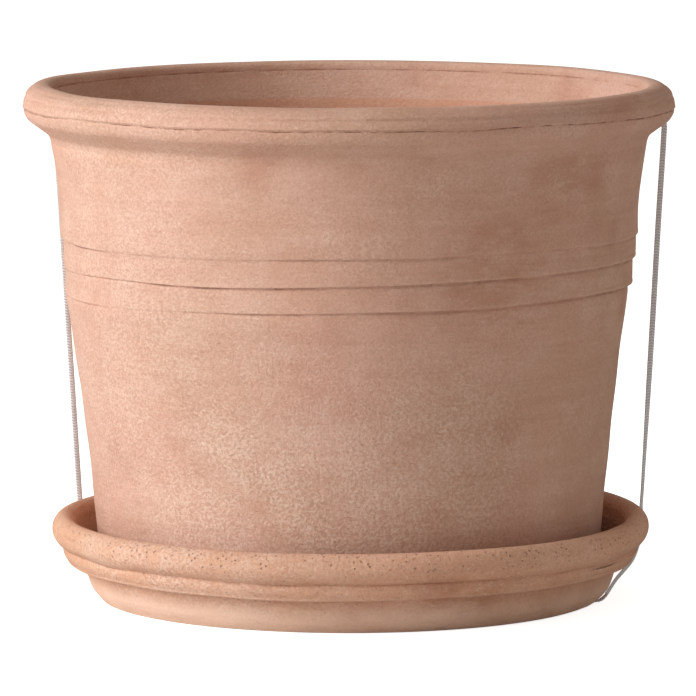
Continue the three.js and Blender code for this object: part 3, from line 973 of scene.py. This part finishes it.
    def wear(self):
        """Paler clay near the ground, partly lime drawn up from it and partly painted light bounced from the
        floor, and edges paler from wear, where the saucer's lower wall also gets painted bounce light.
        """
        limed_and_lit = self.ramp(self.height(), 0.006, 0.016, 0.55, 0.0)
        uneven = self.ramp(self.pattern(19, 30, 4, 0.6), 0.3, 0.6, 0.4, 1.0)
        self.lay(self.times(limed_and_lit, uneven), LIME_AND_BOUNCE)
        rubbed_and_lit = self.times(self.attribute("worn"), self.ramp(self.fine, 0.35, 0.6, 0.3, 1.0), clamp=True)
        self.lay(self.times(rubbed_and_lit, 0.35), RUBBED_AND_LIT)

    def relief(self):
        """The bumps, from the swells left by the hand to the grain, then the pits and the creases."""
        stippled = self.times(self.stipple, self.ramp(self.rough, 0.2, 1.0, 0.45, 1.0))
        normal = None
        for height, distance, strength in (
            (self.pattern(18, 90, 3, 0.6, squash=2.5), 0.0009, 0.5),
            (self.wiped, 0.0006, 0.5),
            (self.fine, 0.0003, 0.6),
            (stippled, 0.0008, 0.75),
            (self.grain, 0.0001, 0.6),
            (self.math("SUBTRACT", 1.0, self.holes), 0.0006, 0.8),
            (self.math("SUBTRACT", 1.0, self.creases), 0.0003, 0.5),
        ):
            normal = self.bump(height, distance, strength, normal)
        self.put(self.surface.inputs["Normal"], normal)


def clay(name, tones, bloom_and_light_places, stain_places, pit_share, shift):
    """Unglazed clay with its marks and its painted light and shade, from the ground tones up to the edges'
    wear.
    """
    s = Clay(name, shift)
    s.tones(*tones)
    s.streaks()
    s.bloom_and_light(bloom_and_light_places)
    s.stains(stain_places)
    s.grit()
    s.pits(pit_share)
    s.shade()
    s.wear()
    s.relief()
    s.put(s.surface.inputs["Base Color"], s.colour)
    s.put(s.surface.inputs["Roughness"], s.ramp(s.grain, 0.3, 0.7, 0.82, 0.97))
    s.surface.inputs["Specular IOR Level"].default_value = 0.2
    return s.material


def braid():
    """Off-white elastic braid, a little soiled, with fine yarns, and painted shade in the yarns' hollows and
    in the gaps between the strands.
    """
    s = Shader("braid")
    soil = s.ramp(s.noise(160, 3, 0.6, squash=0.4), 0.35, 0.7)
    s.colour = s.mix(soil, linear(254, 253, 252), linear(246, 242, 240))
    yarns = s.noise(2600, 2, 0.6, squash=0.5)
    # Painted shade in the hollows of the yarns, where their bumps are low.
    s.lay(s.ramp(yarns, 0.35, 0.65, 0.25, 0.0), (160, 152, 150))
    # Painted shade in the gaps between the strands.
    s.lay(s.times(s.attribute("dark"), 0.7), (150, 144, 141))
    s.put(s.surface.inputs["Base Color"], s.colour)
    s.surface.inputs["Roughness"].default_value = 0.85
    s.surface.inputs["Specular IOR Level"].default_value = 0.3
    s.surface.inputs["Sheen Weight"].default_value = 0.25
    s.put(s.surface.inputs["Normal"], s.bump(yarns, 0.00012, 0.6))
    return s.material


# ---- room and light ----------------------------------------------------------------------


def camera_only(s, shader, strength):
    """White light that only the camera meets, so that it doesn't light the object."""
    glow = s.tree.nodes.new("ShaderNodeEmission")
    seen = s.tree.nodes.new("ShaderNodeLightPath").outputs["Is Camera Ray"]
    s.put(glow.inputs["Strength"], s.math("MULTIPLY", seen, strength))
    both = s.tree.nodes.new("ShaderNodeAddShader")
    s.put(both.inputs[0], shader)
    s.put(both.inputs[1], glow.outputs[0])
    return both.outputs[0]


def make_floor():
    bpy.ops.mesh.primitive_plane_add(size=400)
    floor = bpy.context.object
    floor.name = "floor"
    floor.location.z = cad_low.z - FLOOR_GAP * MM
    s = Shader("floor")
    speck = s.noise(6, 2, 0.5)
    s.put(s.surface.inputs["Base Color"], s.mix(speck, linear(236, 236, 234), linear(242, 242, 241)))
    s.surface.inputs["Roughness"].default_value = 0.95
    s.surface.inputs["Specular IOR Level"].default_value = 0.1
    output = s.tree.nodes["Material Output"]
    s.put(output.inputs["Surface"], camera_only(s, s.surface.outputs[0], FLOOR_GLOW))
    floor.data.materials.append(s.material)


def make_light(name, azimuth, elevation, distance, size, power, colour):
    """An area light that faces the pot. Azimuth 0 is the front and 90 the right."""
    a, e = math.radians(azimuth), math.radians(elevation)
    away = Vector((math.sin(a) * math.cos(e), -math.cos(a) * math.cos(e), math.sin(e)))
    data = bpy.data.lights.new(name, "AREA")
    data.shape = "RECTANGLE"
    data.size, data.size_y = size
    data.energy = power
    data.color = colour
    light = bpy.data.objects.new(name, data)
    light.location = Vector((0, 0, 0.1)) + away * distance
    light.rotation_euler = away.to_track_quat("Z", "Y").to_euler()
    bpy.context.scene.collection.objects.link(light)


def make_lights():
    world = bpy.data.worlds.new("world")
    world.use_nodes = True
    nodes, links = world.node_tree.nodes, world.node_tree.links
    strength = nodes.new("ShaderNodeMapRange")
    strength.inputs["To Min"].default_value = SKY_LIGHT
    strength.inputs["To Max"].default_value = SKY_SEEN
    links.new(nodes.new("ShaderNodeLightPath").outputs["Is Camera Ray"], strength.inputs["Value"])
    links.new(strength.outputs["Result"], nodes["Background"].inputs["Strength"])
    nodes["Background"].inputs["Color"].default_value = SKY_COLOUR
    bpy.context.scene.world = world
    make_light("key", -67, 24, 2.2, (1.2, 1.4), 53, (0.96, 1.02, 1.09))
    make_light("side_fill", 105, 12, 2.5, (1.5, 1.5), 4.5, (1.0, 0.98, 0.95))
    make_light("front_fill", -24, 20, 3.2, (2.2, 1.6), 5, (1.0, 1.0, 1.0))
    bpy.context.scene.view_settings.view_transform = "Standard"


# ---- assembly ----------------------------------------------------------------------------


def set_material(piece, material):
    piece.data.materials.clear()
    piece.data.materials.append(material)


def hole_cutters():
    """The two tie holes: each runs straight along the tie from the lip's underside to the inner wall."""
    cutters = []
    for ends in ((TIE_ROUTE[3], TIE_ROUTE[0]), (TIE_ROUTE[-4], TIE_ROUTE[-1])):
        outer, inner = Vector(ends[0]) * MM, Vector(ends[1]) * MM
        direction = outer - inner
        depth = direction.length + TIE_HOLE_OVERRUN * MM
        bpy.ops.mesh.primitive_cylinder_add(vertices=24, radius=TIE_HOLE_RADIUS * MM, depth=depth)
        cutter = bpy.context.object
        cutter.location = (outer + inner) / 2
        cutter.rotation_euler = direction.to_track_quat("Z", "Y").to_euler()
        cutters.append(cutter)
    return cutters


def notch_cutter():
    """A long bar along the tie's run under the saucer, which cuts both notches in the foot."""
    bpy.ops.mesh.primitive_cube_add(size=1)
    cutter = bpy.context.object
    left, right = Vector(TIE_ROUTE[18]), Vector(TIE_ROUTE[22])
    middle = (left + right) / 2
    cutter.scale = [size * MM for size in NOTCH_SIZE]
    cutter.location = (middle.x * MM, middle.y * MM, NOTCH_MIDDLE * MM)
    cutter.rotation_euler.z = math.atan2(right.y - left.y, right.x - left.x)
    return cutter


make_camera()
tape, tape_path, tape_length = make_tape()
set_material(tape, braid())

pot = revolve("pot_body", pot_outline(), pot_shape())
cut(pot, hole_cutters())
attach(pot, "pot")
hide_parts("pot")
set_material(pot, clay("pot_clay", POT_TONES, POT_BLOOMS_AND_HIGHLIGHTS, POT_STAINS, POT_PITS, 0.0))

dish = revolve("saucer_body", saucer_outline(), saucer_shape())
cut(dish, [notch_cutter()])
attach(dish, "saucer")
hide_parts("saucer")
set_material(dish, clay("saucer_clay", SAUCER_TONES, SAUCER_BLOOMS_AND_BOUNCE, SAUCER_STAINS, SAUCER_PITS, 40.0))

for side, node in ((-1, "knot_left"), (1, "knot_right")):
    knot = make_knot(f"{node}_braid", node, Vector((-side, 0.0, 0.05)))
    set_material(knot, tape.data.materials[0])

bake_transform(tape)
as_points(tape_path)

make_floor()
make_lights()
